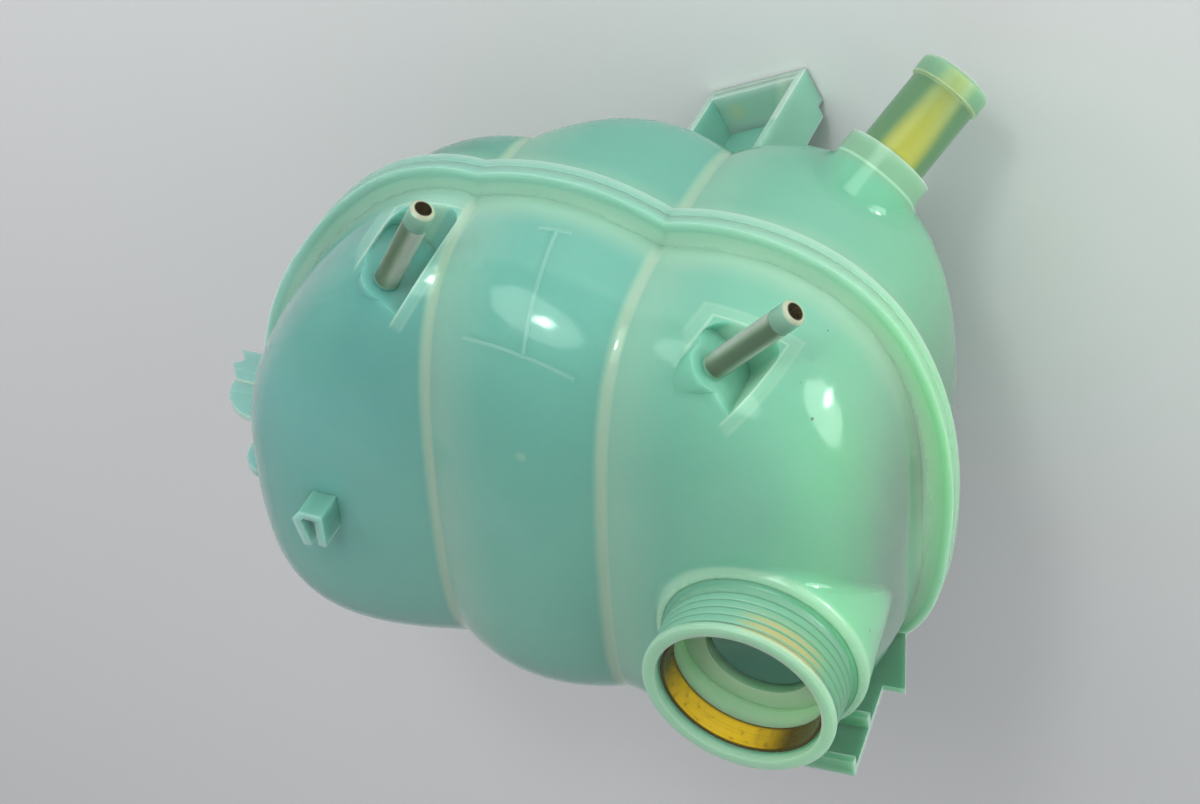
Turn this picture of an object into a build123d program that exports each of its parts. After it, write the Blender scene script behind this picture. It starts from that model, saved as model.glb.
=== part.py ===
from build123d import *
from math import atan2, cos, degrees, radians, sin
import os

# Coolant expansion tank: two moulded halves welded along a flange, with a screw neck,
# two vent spigots, a hose outlet and mounting brackets. Millimetres, +Z up.
# Drawn about the middle of the weld plane, with the front of the tank towards -Y and the
# neck on the left lobe. The written parts have their origin on the neck's axis, at its ring.

# Walls and fits
wall = 2.6
rib_wall = 2.2
fit_gap = 0.05

# Plan of the body at the weld plane, from its left end over the two creases to its right end
left_end_x = -98.0
left_end_y = 20.0
left_shoulder_x = -89.0
left_shoulder_front = -38.0
left_shoulder_back = 55.0
left_waist_x = -76.0
left_waist_front = -57.0
left_waist_back = 66.0
left_lobe_x = -48.0
left_lobe_front = -69.0
left_lobe_back = 78.0
left_crease_x = -22.3
left_crease_front = -66.0
left_crease_back = 82.0
centre_lobe_x = 3.7
centre_lobe_front = -73.0
centre_lobe_back = 86.0
right_crease_x = 29.7
right_crease_front = -69.0
right_crease_back = 82.0
right_lobe_x = 52.0
right_lobe_front = -64.5
right_lobe_back = 85.0
right_waist_x = 78.0
right_waist_front = -40.0
right_waist_back = 80.0
right_shoulder_x = 96.0
right_shoulder_front = -9.0
right_shoulder_back = 64.0
right_end_x = 104.0
right_end_y = 27.0

# Heights of the upper dome and depths of the lower one at the same places
left_shoulder_rise = 46.0
left_shoulder_drop = 46.0
left_waist_rise = 56.0
left_waist_drop = 62.0
left_lobe_rise = 57.0
left_lobe_drop = 73.0
left_crease_rise = 51.5
left_crease_drop = 64.0
centre_lobe_rise = 56.0
centre_lobe_drop = 63.0
right_crease_rise = 47.0
right_crease_drop = 44.5
right_lobe_rise = 51.5
right_lobe_drop = 38.0
right_waist_rise = 50.0
right_waist_drop = 32.0
right_shoulder_rise = 34.0
right_shoulder_drop = 20.0

# Side view of the domes: where they are highest, and how square they are
crown_y = 10.0
right_waist_crown_y = 20.0
right_shoulder_crown_y = 28.0
upper_fullness = 0.80
lower_fullness = 0.90
crease_round = 3.0

# Weld flange: each half has a lip, and a shallow groove between the lips holds the weld
flange_reach = 6.0
flange_thick = 3.2
flange_root_round = 3.2
weld_groove_depth = 0.5
weld_groove_half = 0.5

# Filler neck with its metal ring
neck_x = -68.6
neck_y = 17.1
rim_z = 75.6
neck_radius = 25.8
collar_radius = 29.8
collar_z = 59.0
collar_foot_z = 12.0
collar_round = 2.5
tower_round = 4.0
stem_round = 1.4
tower_radius = 25.0
rim_radius = 26.5
rim_height = 2.2
rim_chamfer = 0.6
mouth_radius = 22.8
neck_bore_radius = 21.5
seat_depth = 17.6
seat_hole_radius = 15.0
seat_thick = 3.0
ring_wall = 0.9
ring_height = 8.0
ring_below_rim = 2.8

# Vent spigots: each stands on a boss at the back of a niche in the dome
vent_radius = 3.5
vent_bore_radius = 2.1
vent_tip_chamfer = 0.8
vent_boss_radius = 7.0
vent_boss_length = 12.0
vent_sleeve_wall = 0.5
vent_sleeve_start = 1.0
vent_sleeve_short = 6.0
left_vent_x = -48.5
left_vent_y = -59.0
left_vent_z = 37.0
left_vent_heading = 41.0
left_vent_length = 32.0
right_vent_x = 45.4
right_vent_y = -56.2
right_vent_z = 31.2
right_vent_heading = 26.5
right_vent_length = 30.6

# Niche round each spigot, measured from the spigot's axis to its walls and floor
left_niche_left = 9.6
left_niche_right = 7.5
left_niche_floor = 10.5
right_niche_left = 7.2
right_niche_right = 8.7
right_niche_floor = 20.0
niche_height = 20.0
niche_round = 5.0
niche_draft = 0.5

# Hose outlet
outlet_x = -66.2
outlet_y = -64.6
outlet_z = -51.7
outlet_heading = 37.0
outlet_dip = 48.5
outlet_radius = 9.8
outlet_length = 29.0
outlet_bead_radius = 10.6
outlet_bead_length = 6.0
outlet_bead_chamfer = 1.0
outlet_collar_radius = 13.0
outlet_root_round = 6.0
outlet_root = 24.0
outlet_bore_radius = 7.4
outlet_sleeve_wall = 0.8
outlet_sleeve_length = 25.0
outlet_sleeve_inset = 1.0

# Foot: a tray under the front of the lower half, open at its front, with a grooved floor
foot_x = -27.6
foot_y = -57.6
foot_turn = 27.6
foot_width = 33.0
foot_depth = 15.0
foot_floor_depth = 11.5
foot_floor_height = 5.0
foot_web = 1.2
foot_groove = 2.0
foot_groove_height = 1.4
foot_bottom_z = -96.0
foot_top_z = -34.0

# Fin at the back left corner, ribbed, with a stepped outer edge
fin_x = -93.5
fin_y = 60.0
fin_turn = 8.0
fin_length = 30.0
fin_step = 6.5
fin_step_z = 24.0
fin_top_z = 56.0
fin_rib_depth = 6.0
fin_rib_z = 40.0
fin_lean = 2.0
fin_gusset_depth = 20.0

# Plates at the right end: a round lug on the dome, one at the flange, and teeth below it
lug_y = 30.0
upper_lug_x = 93.7
upper_lug_z = 23.9
upper_lug_radius = 10.3
flange_lug_x = 109.5
flange_lug_radius = 13.4
tooth_root_x = 122.7
tooth_tip_x = 127.6
tooth_gullet_x = 124.3
tooth_height = 6.2
tooth_slope = 2.2

# Hose clip on the right lobe: two uprights joined at the front, with a tongue between them
clip_left_x = 59.2
clip_front_right_x = 64.5
clip_right_x = 66.3
clip_end_x = 63.9
clip_front_y = 9.6
clip_left_y = 20.0
clip_right_y = 21.0
clip_elbow_y = 12.0
clip_wall = 2.4
clip_foot_z = 44.0
clip_top_z = 61.5
clip_tongue_x = 62.2
clip_tongue_y = 15.5
clip_tongue_wall = 1.4
clip_tongue_length = 5.0
clip_tongue_drop = 2.5

# Raised level mark on the centre lobe: a line in a leaning plane, a stem and a short foot
level_x = 2.0
level_y = -54.9
level_z = 45.4
level_length = 31.5
level_lean = 25.0
level_slope = 5.0
level_foot_x = 3.0
level_foot_z = 15.0
level_foot_length = 9.0
level_foot_slope = 9.5
level_stem_x = 1.1
level_stem_slope = 5.0
level_line = 0.8
level_raise = 0.3

# Plan points of each lobe's open sides, running anticlockwise seen from above
front_plan = [
    (left_crease_x, left_crease_front),
    (centre_lobe_x, centre_lobe_front),
    (right_crease_x, right_crease_front),
]
right_plan = [
    (right_crease_x, right_crease_front),
    (right_lobe_x, right_lobe_front),
    (right_waist_x, right_waist_front),
    (right_shoulder_x, right_shoulder_front),
    (right_end_x, right_end_y),
    (right_shoulder_x, right_shoulder_back),
    (right_waist_x, right_waist_back),
    (right_lobe_x, right_lobe_back),
    (right_crease_x, right_crease_back),
]
back_plan = [
    (right_crease_x, right_crease_back),
    (centre_lobe_x, centre_lobe_back),
    (left_crease_x, left_crease_back),
]
left_plan = [
    (left_crease_x, left_crease_back),
    (left_lobe_x, left_lobe_back),
    (left_waist_x, left_waist_back),
    (left_shoulder_x, left_shoulder_back),
    (left_end_x, left_end_y),
    (left_shoulder_x, left_shoulder_front),
    (left_waist_x, left_waist_front),
    (left_lobe_x, left_lobe_front),
    (left_crease_x, left_crease_front),
]
end_plan_steps = 16
side_plan_steps = 4

# Places that follow from the sizes above
seat_z = rim_z - seat_depth
throat_z = seat_z - seat_thick
ring_top_z = rim_z - ring_below_rim
ring_outer_radius = neck_bore_radius + ring_wall
left_vent = dict(x=left_vent_x, y=left_vent_y, z=left_vent_z,
                 heading=left_vent_heading, length=left_vent_length,
                 left=left_niche_left, right=left_niche_right, floor=left_niche_floor)
right_vent = dict(x=right_vent_x, y=right_vent_y, z=right_vent_z,
                  heading=right_vent_heading, length=right_vent_length,
                  left=right_niche_left, right=right_niche_right, floor=right_niche_floor)
to_neck = Pos(-neck_x, -neck_y, -ring_top_z)
upright = (Align.CENTER, Align.CENTER, Align.MIN)


def profile(x, front, back, rise, drop, inset, crown=crown_y):
    """Side view of the body at one place along X, closed by four quarter curves."""

    def quarter(end_y, end_z, fullness):
        corner_y = crown + (end_y - crown) * fullness
        return Bezier((x, end_y, 0), (x, end_y, end_z * fullness), (x, corner_y, end_z), (x, crown, end_z))

    return make_face([
        quarter(front + inset, rise - inset, upper_fullness),
        quarter(back - inset, rise - inset, upper_fullness),
        quarter(back - inset, inset - drop, lower_fullness),
        quarter(front + inset, inset - drop, lower_fullness),
    ])


def body(inset):
    """The three lobes of the tank, drawn in by the given distance."""
    left_crease = profile(left_crease_x, left_crease_front, left_crease_back,
                          left_crease_rise, left_crease_drop, inset)
    right_crease = profile(right_crease_x, right_crease_front, right_crease_back,
                           right_crease_rise, right_crease_drop, inset)
    left = loft([
        Vertex(left_end_x + inset, left_end_y, 0),
        profile(left_shoulder_x, left_shoulder_front, left_shoulder_back,
                left_shoulder_rise, left_shoulder_drop, inset),
        profile(left_waist_x, left_waist_front, left_waist_back, left_waist_rise, left_waist_drop, inset),
        profile(left_lobe_x, left_lobe_front, left_lobe_back, left_lobe_rise, left_lobe_drop, inset),
        left_crease,
    ])
    centre = loft([
        left_crease,
        profile(centre_lobe_x, centre_lobe_front, centre_lobe_back,
                centre_lobe_rise, centre_lobe_drop, inset),
        right_crease,
    ])
    right = loft([
        right_crease,
        profile(right_lobe_x, right_lobe_front, right_lobe_back, right_lobe_rise, right_lobe_drop, inset),
        profile(right_waist_x, right_waist_front, right_waist_back, right_waist_rise, right_waist_drop, inset,
                right_waist_crown_y),
        profile(right_shoulder_x, right_shoulder_front, right_shoulder_back,
                right_shoulder_rise, right_shoulder_drop, inset, right_shoulder_crown_y),
        Vertex(right_end_x - inset, right_end_y, 0),
    ])
    return left + centre + right


def rounded_body():
    """The body with its creases rounded."""
    sharp = body(0)
    creases = [edge for edge in sharp.edges() if edge.bounding_box().size.X < fit_gap and edge.length > wall]
    return fillet(creases, crease_round)


def moved_out(points, distance, steps):
    """Smooth plan line through the points, moved outwards by the given distance."""
    line = Spline(*points)
    moved = []
    for step in range(steps + 1):
        along = line % (step / steps)
        moved.append(line @ (step / steps) + Vector(along.Y, -along.X) * distance)
    return Spline(*moved)


def lobe_plans(reach, z):
    """Plan faces of the three lobes at one height, wider than the body by the given reach."""
    front = moved_out(front_plan, reach, side_plan_steps)
    right = moved_out(right_plan, reach, end_plan_steps)
    back = moved_out(back_plan, reach, side_plan_steps)
    left = moved_out(left_plan, reach, end_plan_steps)
    faces = [
        make_face([front, Line(front @ 1, back @ 0), back, Line(back @ 1, front @ 0)]),
        make_face([right, Line(right @ 1, right @ 0)]),
        make_face([left, Line(left @ 1, left @ 0)]),
    ]
    return [Pos(0, 0, z) * face for face in faces]


def flange_lips():
    """Weld land of the upper half's flange, and the lip that stands out past it."""
    land = [extrude(face, flange_thick) for face in lobe_plans(flange_reach - weld_groove_depth, 0)]
    lip_thick = flange_thick - weld_groove_half
    lip = [extrude(face, lip_thick) for face in lobe_plans(flange_reach, weld_groove_half)]
    return Part() + land + lip


def flange_root():
    """Hollow rounding between the flange and the dome, its top sunk into the dome's wall."""
    sag = flange_root_round * (1 - cos(radians(45)))
    foot = lobe_plans(flange_root_round, flange_thick)
    middle = lobe_plans(sag, flange_thick + sag)
    head = lobe_plans(-wall / 2, flange_thick + flange_root_round)
    return Part() + [loft(list(faces)) for faces in zip(foot, middle, head)]


def tower():
    """Wide base of the neck, still solid."""
    base = Cone(tower_radius, collar_radius, collar_z - collar_foot_z, align=upright)
    base = fillet(base.edges().sort_by(Axis.Z)[-1], collar_round)
    return Pos(neck_x, neck_y, collar_foot_z) * base


def stem():
    """Threaded part of the neck and its rim, still solid."""
    column = Cylinder(neck_radius, rim_z - collar_z, align=upright)
    spread = Cylinder(neck_radius + stem_round, stem_round, align=upright)
    hollow = Torus(neck_radius + stem_round, stem_round)
    column += spread - Pos(0, 0, stem_round) * hollow
    rim = Cylinder(rim_radius, rim_height, align=upright)
    rim = chamfer(rim.edges().filter_by(GeomType.CIRCLE), rim_chamfer)
    return Pos(neck_x, neck_y, collar_z) * (column + Pos(0, 0, rim_z - collar_z - rim_height) * rim)


def neck_inside():
    """What is open inside the neck: mouth, bore, ring seat, seat hole and the tower's hollow."""
    hollow = Cone(tower_radius - wall, collar_radius - wall, throat_z - collar_foot_z, align=upright)
    hole = Cylinder(seat_hole_radius, rim_z - collar_foot_z, align=upright)
    bore = Cylinder(neck_bore_radius, seat_depth, align=upright)
    ring_seat = Cylinder(ring_outer_radius, ring_height, align=upright)
    opened = Pos(0, 0, collar_foot_z) * (hollow + hole)
    opened += Pos(0, 0, seat_z) * bore
    opened += Pos(0, 0, ring_top_z - ring_height) * ring_seat
    opened += Pos(0, 0, ring_top_z) * Cylinder(mouth_radius, ring_below_rim, align=upright)
    return Pos(neck_x, neck_y, 0) * opened


def neck_ring():
    """Metal ring moulded into the neck, flush with its bore."""
    ring = Cylinder(ring_outer_radius - fit_gap, ring_height - fit_gap, align=upright)
    ring -= Cylinder(neck_bore_radius, ring_height, align=upright)
    return Pos(neck_x, neck_y, ring_top_z - ring_height) * ring


def vent_frame(vent):
    """Plane at a spigot's root: its normal runs along the spigot, away from the tank."""
    turn = radians(vent["heading"])
    return Plane(origin=(vent["x"], vent["y"], vent["z"]),
                 x_dir=(cos(turn), -sin(turn), 0), z_dir=(-sin(turn), -cos(turn), 0))


def niche(vent, inset):
    """Drafted hollow in the dome round a spigot, or what the cavity keeps clear of it."""
    width = vent["left"] + vent["right"] + inset * 2
    height = vent["floor"] + niche_height + inset * 2
    opening = RectangleRounded(width, height, niche_round + inset)
    middle = Pos((vent["right"] - vent["left"]) / 2, (niche_height - vent["floor"]) / 2, -inset)
    return vent_frame(vent) * middle * extrude(opening, vent["length"], taper=-niche_draft)


def vent_outside(vent):
    """Boss and spigot, still solid."""
    boss = Pos(0, 0, -vent_boss_length) * Cylinder(vent_boss_radius, vent_boss_length, align=upright)
    spigot = Cylinder(vent_radius, vent["length"], align=upright)
    spigot = chamfer(spigot.edges().sort_by(Axis.Z)[-1], vent_tip_chamfer)
    return vent_frame(vent) * (boss + spigot)


def vent_inside(vent):
    """Bore of a spigot, through its boss, with the pocket of its sleeve."""
    bore = Cylinder(vent_bore_radius, vent["length"] + vent_boss_length, align=upright)
    pocket_length = vent["length"] - vent_sleeve_short - vent_sleeve_start
    pocket = Cylinder(vent_bore_radius + vent_sleeve_wall, pocket_length, align=upright)
    return vent_frame(vent) * (Pos(0, 0, -vent_boss_length) * bore + Pos(0, 0, vent_sleeve_start) * pocket)


def vent_sleeve(vent):
    """Metal tube moulded into a spigot."""
    length = vent["length"] - vent_sleeve_short - vent_sleeve_start - fit_gap
    sleeve = Cylinder(vent_bore_radius + vent_sleeve_wall - fit_gap, length, align=upright)
    sleeve -= Cylinder(vent_bore_radius, length, align=upright)
    return vent_frame(vent) * Pos(0, 0, vent_sleeve_start) * sleeve


def outlet_frame():
    """Plane at the face of the outlet's collar: its normal runs along the pipe."""
    turn = radians(outlet_heading)
    dip = radians(outlet_dip)
    outward = (-sin(turn) * cos(dip), -cos(turn) * cos(dip), -sin(dip))
    return Plane(origin=(outlet_x, outlet_y, outlet_z), x_dir=(cos(turn), -sin(turn), 0), z_dir=outward)


def outlet_outside():
    """Collar, pipe and hose bead of the outlet, still solid."""
    collar = Pos(0, 0, -outlet_root) * Cylinder(outlet_collar_radius, outlet_root, align=upright)
    pipe = Cylinder(outlet_radius, outlet_length, align=upright)
    bead = Cylinder(outlet_bead_radius, outlet_bead_length, align=upright)
    bead = chamfer(bead.edges().filter_by(GeomType.CIRCLE).sort_by(Axis.Z)[-1], outlet_bead_chamfer)
    return outlet_frame() * (collar + pipe + Pos(0, 0, outlet_length - outlet_bead_length) * bead)


def outlet_inside():
    """Bore of the outlet, with the seat of its sleeve."""
    bore = Pos(0, 0, -outlet_root) * Cylinder(outlet_bore_radius, outlet_length + outlet_root, align=upright)
    seat_start = outlet_length - outlet_sleeve_inset - outlet_sleeve_length
    seat = Cylinder(outlet_bore_radius + outlet_sleeve_wall, outlet_length - seat_start, align=upright)
    return outlet_frame() * (bore + Pos(0, 0, seat_start) * seat)


def outlet_sleeve():
    """Metal tube pressed into the outlet from its open end."""
    sleeve = Cylinder(outlet_bore_radius + outlet_sleeve_wall - fit_gap, outlet_sleeve_length, align=upright)
    sleeve -= Cylinder(outlet_bore_radius, outlet_sleeve_length, align=upright)
    return outlet_frame() * Pos(0, 0, outlet_length - outlet_sleeve_inset - outlet_sleeve_length) * sleeve


def fin():
    """Ribbed fin at the back left corner, standing on the flange."""
    turn = radians(fin_turn)
    frame = Plane(origin=(fin_x, fin_y, 0), x_dir=(cos(turn), sin(turn), 0), z_dir=(sin(turn), -cos(turn), 0))
    foot_z = flange_thick - rib_wall / 2
    outline = Polyline((0, foot_z), (-fin_step, fin_step_z), (0, fin_step_z), (-fin_lean, fin_top_z),
                       (fin_length, fin_top_z), (fin_length, foot_z), close=True)
    plate = extrude(make_face(outline), rib_wall)
    rib = Box(fin_length + fin_lean, rib_wall, fin_rib_depth, align=(Align.MIN, Align.MAX, Align.MIN))
    ribs = Pos(-fin_lean, fin_top_z, 0) * rib + Pos(-fin_lean / 2, fin_rib_z, 0) * rib
    gusset = Box(rib_wall, fin_top_z - foot_z, fin_gusset_depth, align=(Align.MAX, Align.MAX, Align.MIN))
    return frame * (plate + ribs + Pos(fin_length, fin_top_z, 0) * gusset)


def upper_lugs():
    """Round lugs on the right end of the upper half, one on the dome and one at the flange."""
    dome_lug = Cylinder(upper_lug_radius, rib_wall, rotation=(90, 0, 0))
    flange_lug = Cylinder(flange_lug_radius, rib_wall, rotation=(90, 0, 0))
    flange_lug = split(flange_lug, Plane.XY.offset(weld_groove_half), keep=Keep.TOP)
    return Pos(upper_lug_x, lug_y, upper_lug_z) * dome_lug + Pos(flange_lug_x, lug_y, 0) * flange_lug


def teeth():
    """Plate with two teeth on the right end of the lower half, in line with the upper lugs."""
    root_x = right_shoulder_x - wall
    outline = Polyline((root_x, -weld_groove_half), (tooth_root_x, -weld_groove_half),
                       (tooth_tip_x, -weld_groove_half - tooth_height),
                       (tooth_gullet_x, -weld_groove_half - tooth_height - tooth_slope),
                       (tooth_tip_x, -weld_groove_half - tooth_height * 2),
                       (root_x, -weld_groove_half - tooth_height * 2 - tooth_slope), close=True)
    return Pos(0, lug_y, 0) * extrude(Plane.XZ * make_face(outline), rib_wall / 2, both=True)


def clip():
    """Small hose clip on the right lobe, open at its back and top."""
    line = Polyline((clip_left_x, clip_left_y), (clip_left_x, clip_front_y),
                    (clip_front_right_x, clip_front_y), (clip_right_x, clip_elbow_y),
                    (clip_end_x, clip_right_y))
    uprights = extrude(trace(line, clip_wall), clip_top_z - clip_foot_z)
    lean = degrees(atan2(clip_right_x - clip_end_x, clip_right_y - clip_elbow_y))
    height = clip_top_z - clip_tongue_drop - clip_foot_z
    turned = Rot(0, 0, lean) * Box(clip_tongue_wall, clip_tongue_length, height, align=upright)
    return Pos(0, 0, clip_foot_z) * (uprights + Pos(clip_tongue_x, clip_tongue_y, 0) * turned)


def level_mark():
    """Raised lines of the level mark: a long line, a stem below it and a short foot."""
    skin = split(body(-level_raise), Plane.XZ.offset(-crown_y), keep=Keep.TOP)
    depth = -centre_lobe_front
    long_line = Box(level_length, depth, level_line)
    stem = Box(level_line, depth, level_z - level_foot_z)
    foot = Box(level_foot_length, depth, level_line)
    bars = Pos(level_x, level_y, level_z) * Rot(-level_lean, level_slope, 0) * long_line
    bars += Pos(level_stem_x, level_y, (level_z + level_foot_z) / 2) * Rot(0, -level_stem_slope, 0) * stem
    bars += Pos(level_foot_x, level_y, level_foot_z) * Rot(0, -level_foot_slope, 0) * foot
    return skin & bars


def foot():
    """Tray under the front of the lower half: floor, two sides and a back, open at its front."""
    frame = Pos(foot_x, foot_y, foot_bottom_z) * Rot(0, 0, foot_turn)
    height = foot_top_z - foot_bottom_z - foot_floor_height
    corner = (Align.MIN, Align.MIN, Align.MIN)
    floor = Box(foot_width, foot_floor_depth, foot_floor_height, align=corner)
    groove = Box(foot_width - rib_wall * 2, foot_groove, foot_groove_height, align=corner)
    floor -= Pos(rib_wall, 0, (foot_floor_height - foot_groove_height) / 2) * groove
    side = Box(rib_wall, foot_depth, height, align=corner)
    back = Box(foot_width, rib_wall, height, align=corner)
    walls = side + Pos(foot_width - rib_wall, 0, 0) * side + Pos(0, foot_depth - rib_wall, 0) * back
    web = Box(foot_width, foot_depth, foot_web, align=(Align.MIN, Align.MIN, Align.MAX))
    return frame * (floor + Pos(0, 0, foot_floor_height) * (walls + web))


def upper_shell(outer):
    """Upper half: dome, flange, neck, spigots and what is moulded on them, hollowed out."""
    cavity = split(body(wall), Plane.XY, keep=Keep.TOP)
    shell = split(outer, Plane.XY, keep=Keep.TOP) + tower()
    tower_side = shell.faces().filter_by(GeomType.CONE).sort_by(SortBy.AREA)[-1]
    shell = fillet(tower_side.edges().filter_by(GeomType.BSPLINE), tower_round)
    shell += [level_mark(), flange_root()]
    for vent in (left_vent, right_vent):
        shell -= niche(vent, 0)
        cavity -= niche(vent, wall)
    shell += [flange_lips(), stem(), fin(), upper_lugs(), clip()]
    shell += [vent_outside(left_vent), vent_outside(right_vent)]
    shell -= cavity
    shell -= neck_inside()
    shell -= [vent_inside(left_vent), vent_inside(right_vent)]
    return shell


def lower_shell(outer):
    """Lower half: dome, flange, outlet and brackets, hollowed out."""
    cavity = split(body(wall), Plane.XY, keep=Keep.BOTTOM)
    shell = split(outer, Plane.XY, keep=Keep.BOTTOM) + outlet_outside()
    collar_root = shell.faces().filter_by(GeomType.CYLINDER).edges().filter_by(GeomType.BSPLINE)
    shell = fillet(collar_root, outlet_root_round)
    shell += mirror(flange_root() + flange_lips(), Plane.XY)
    shell += [foot(), teeth()]
    shell -= cavity
    shell -= outlet_inside()
    return shell


tank = rounded_body()
nodes = {
    "upper_shell": upper_shell(tank),
    "lower_shell": lower_shell(tank),
    "neck_ring": neck_ring(),
    "left_vent_sleeve": vent_sleeve(left_vent),
    "right_vent_sleeve": vent_sleeve(right_vent),
    "outlet_sleeve": outlet_sleeve(),
}

os.makedirs("parts", exist_ok=True)
for name, shape in nodes.items():
    export_step(to_neck * shape, f"parts/{name}.step")
    print(name, round(shape.volume), len(shape.solids()), shape.is_valid)
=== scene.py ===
# %% [markdown]
# # A coolant expansion tank
# The tank is two milky green mouldings welded along a flange, with a brass ring in its screw neck and
# small metal tubes in its hose spigots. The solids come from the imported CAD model, which already has the
# right shape and place, so this lesson gives them their finishes and adds what is too fine for the
# solids.

# %% Load the frame
import math

import bmesh
import bpy
from mathutils import Matrix, Quaternion, Vector


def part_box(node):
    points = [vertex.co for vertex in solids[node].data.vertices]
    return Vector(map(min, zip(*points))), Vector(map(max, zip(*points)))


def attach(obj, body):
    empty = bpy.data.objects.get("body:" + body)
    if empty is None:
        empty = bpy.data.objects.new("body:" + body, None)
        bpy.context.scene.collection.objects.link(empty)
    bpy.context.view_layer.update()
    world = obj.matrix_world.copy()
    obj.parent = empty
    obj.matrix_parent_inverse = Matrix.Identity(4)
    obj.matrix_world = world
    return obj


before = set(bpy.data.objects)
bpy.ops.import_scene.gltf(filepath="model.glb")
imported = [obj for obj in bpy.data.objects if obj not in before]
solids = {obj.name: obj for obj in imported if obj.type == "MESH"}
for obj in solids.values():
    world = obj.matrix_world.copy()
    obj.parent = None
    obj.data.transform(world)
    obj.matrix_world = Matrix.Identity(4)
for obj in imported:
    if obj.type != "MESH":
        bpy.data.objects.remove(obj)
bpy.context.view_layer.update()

print("solids:", sorted(solids))

# %% [markdown]
# ## Places on the tank
# Every finish below is placed by the same few measures that the solids were drawn with, in metres, from
# the middle of the neck's ring. A pattern that is placed by a measure stays where it belongs when the
# camera moves.

# %% Measures
up = Vector((0.0, 0.0, 1.0))
neck_root = Vector((0.0, 0.0, 0.0))
tank_middle = Vector((0.0686, -0.0171, -0.0728))
weld_z = tank_middle.z
crease_places = (0.0463, 0.0983)
floor_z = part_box("lower_shell")[0].z
outlet_root = Vector((0.0024, -0.0817, -0.1245))
outlet_way = Vector((-0.398775, -0.529192, -0.748956))
outlet_length = 0.0290

# %% Measures of the two vent spigots
spigot_radius = 0.0035
spigot_bore = 0.0021
sleeve_short = 0.0060
niche_head = 0.020


def spigot(root, heading, length, left, right, sill):
    """A vent spigot with its directions and the walls of its niche, measured from its axis."""
    angle = math.radians(heading)
    return {"root": Vector(root), "length": length,
            "left": left, "right": right, "sill": sill, "head": niche_head,
            "way": Vector((-math.sin(angle), -math.cos(angle), 0.0)),
            "across": Vector((math.cos(angle), -math.sin(angle), 0.0))}


spigots = [spigot((0.0201, -0.0761, -0.0358), 41.0, 0.0320, 0.0096, 0.0075, 0.0105),
           spigot((0.1140, -0.0733, -0.0416), 26.5, 0.0306, 0.0072, 0.0087, 0.0200)]
print("spigots:", len(spigots))

# %% [markdown]
# ## Camera
# The picture was taken from above the front of the tank with the camera turned over, so the neck points
# down and to the right. The camera is set by its three directions rather than by angles, because a roll
# of this size is hard to read from Euler angles.

# %% Camera
camera_place = Vector((-0.13172, -0.45665, 0.36213))
camera_right = Vector((-0.92290, 0.04186, -0.38275))
camera_up = Vector((0.23082, -0.73549, -0.63700))
camera_back = camera_right.cross(camera_up)

camera_data = bpy.data.cameras.new("camera")
camera_data.lens = 69.0
camera_data.sensor_width = 36.0
camera = bpy.data.objects.new("camera", camera_data)
camera_turn = Matrix((camera_right, camera_up, camera_back)).transposed()
camera.matrix_world = Matrix.Translation(camera_place) @ camera_turn.to_4x4()
bpy.context.scene.collection.objects.link(camera)
bpy.context.scene.camera = camera
print("camera at", [round(v, 3) for v in camera_place])

# %% [markdown]
# ## Floor
# A plain pale floor lies under the foot. Light that walks about inside a milky wall now and then finds a
# lamp by chance and leaves a bright dot, so indirect light is clamped.

# %% Render settings
settings = bpy.context.scene.cycles
settings.sample_clamp_indirect = 1.5
settings.max_bounces = 4
settings.diffuse_bounces = 2
settings.glossy_bounces = 2
settings.adaptive_threshold = 0.06
bpy.context.scene.view_settings.view_transform = "Standard"
print("bounces:", settings.max_bounces)

# %% Floor
floor_half = 3.0
floor_gap = 0.0005
floor_mesh = bpy.data.meshes.new("floor")
shape = bmesh.new()
bmesh.ops.create_grid(shape, x_segments=1, y_segments=1, size=floor_half)
bmesh.ops.translate(shape, verts=shape.verts, vec=(0.0, 0.0, floor_z - floor_gap))
shape.to_mesh(floor_mesh)
shape.free()
floor = bpy.data.objects.new("floor", floor_mesh)
bpy.context.scene.collection.objects.link(floor)

floor_paint = bpy.data.materials.new("floor_paint")
floor_paint.use_nodes = True
floor_shader = floor_paint.node_tree.nodes["Principled BSDF"]
floor_shader.inputs["Base Color"].default_value = (0.84, 0.85, 0.86, 1.0)
floor_shader.inputs["Roughness"].default_value = 0.8
floor_mesh.materials.append(floor_paint)
print("floor at", round(floor_z - floor_gap, 4))

# %% [markdown]
# ## Lamps and sky
# Each glint on the domes has a small bright core inside a large dim oval. So a broad dim panel stands in
# front with a small bright lamp before it, and a smaller pair stands low down on the right. The low pair
# is close to the floor, so it is linked to the tank alone and leaves no pool of light there. Two fills
# light the sides but are hidden from the gloss, and a dim even sky fills the shadows.


# %% Lamps
def soft_lamp(name, aim, towards, distance, width, height, watts, tilt=0.0):
    """An oval lamp that looks at a point of the tank from the given direction, turned by the tilt."""
    data = bpy.data.lights.new(name, "AREA")
    data.shape = "ELLIPSE"
    data.size = width
    data.size_y = height
    data.energy = watts
    data.color = (1.0, 1.0, 0.98)
    lamp = bpy.data.objects.new(name, data)
    way = Vector(towards).normalized()
    lamp.location = aim + way * distance
    turned = way.to_track_quat("Z", "Y") @ Quaternion((0.0, 0.0, 1.0), math.radians(tilt))
    lamp.rotation_euler = turned.to_euler()
    lamp.visible_camera = False
    bpy.context.scene.collection.objects.link(lamp)
    return lamp


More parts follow.
